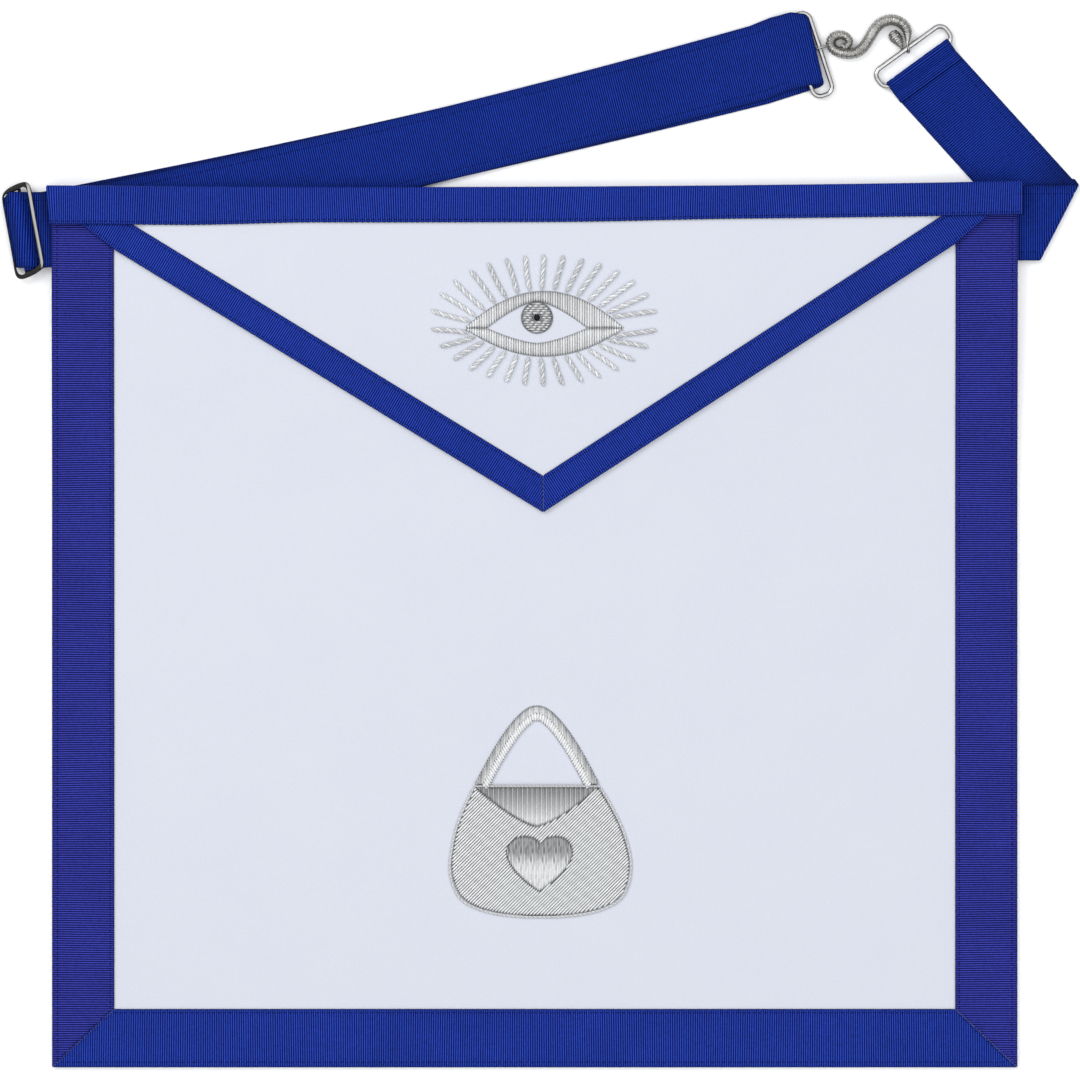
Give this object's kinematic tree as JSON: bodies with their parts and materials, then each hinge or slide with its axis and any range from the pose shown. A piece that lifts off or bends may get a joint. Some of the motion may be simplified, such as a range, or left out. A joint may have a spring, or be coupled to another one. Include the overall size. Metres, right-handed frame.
{
  "type": "masonic apron",
  "caption": "A white leather apron with blue ribbon borders, a pointed flap with a raised eye, a raised purse badge, and a buckled web belt with a serpent clasp.",
  "frame": {"origin": "on the surface that the apron lies on, under the middle of its bounding box", "axes": "+X towards the wearer's left, which is the right side of the picture; +Y from the bottom edge to the top edge and the belt; +Z out of the front"},
  "size_m": [0.454, 0.445, 0.0108],
  "materials": {
    "leather": "smooth fine grain lambskin, slightly cool white",
    "ribbon": "ribbed grosgrain, slight sheen",
    "belt": "ribbed grosgrain webbing, slight sheen",
    "chrome": "bright nickel plate",
    "gunmetal": "dark plated wire",
    "silver": "cast, plated, slightly tarnished",
    "bullion": "raised metallic thread in silver and grey",
    "bead": "polished black bead"
  },
  "bodies": {
    "root": {"apron_panel": "leather", "flap_panel": "leather", "left_border": "ribbon", "right_border": "ribbon", "bottom_border": "ribbon", "flap_border_left": "ribbon", "flap_border_right": "ribbon", "top_binding": "ribbon", "belt_left": "belt", "belt_right": "belt", "slider": "gunmetal", "ring_left": "chrome", "ring_right": "chrome", "snake_clasp": "silver", "eye_upper_lid": "bullion", "eye_lower_lid": "bullion", "eye_iris": "bullion", "eye_pupil": "bead", "ray_01": "bullion", "ray_02": "bullion", "ray_03": "bullion", "ray_04": "bullion", "ray_05": "bullion", "ray_06": "bullion", "ray_07": "bullion", "ray_08": "bullion", "ray_09": "bullion", "ray_10": "bullion", "ray_11": "bullion", "ray_12": "bullion", "ray_13": "bullion", "ray_14": "bullion", "ray_15": "bullion", "ray_16": "bullion", "ray_17": "bullion", "ray_18": "bullion", "ray_19": "bullion", "ray_20": "bullion", "ray_21": "bullion", "ray_22": "bullion", "ray_23": "bullion", "ray_24": "bullion", "ray_25": "bullion", "ray_26": "bullion", "ray_27": "bullion", "ray_28": "bullion", "ray_29": "bullion", "ray_30": "bullion", "purse_body": "bullion", "purse_flap": "bullion", "purse_heart": "bullion", "purse_handle": "bullion", "purse_cord": "bullion"}
  },
  "joints": []
}
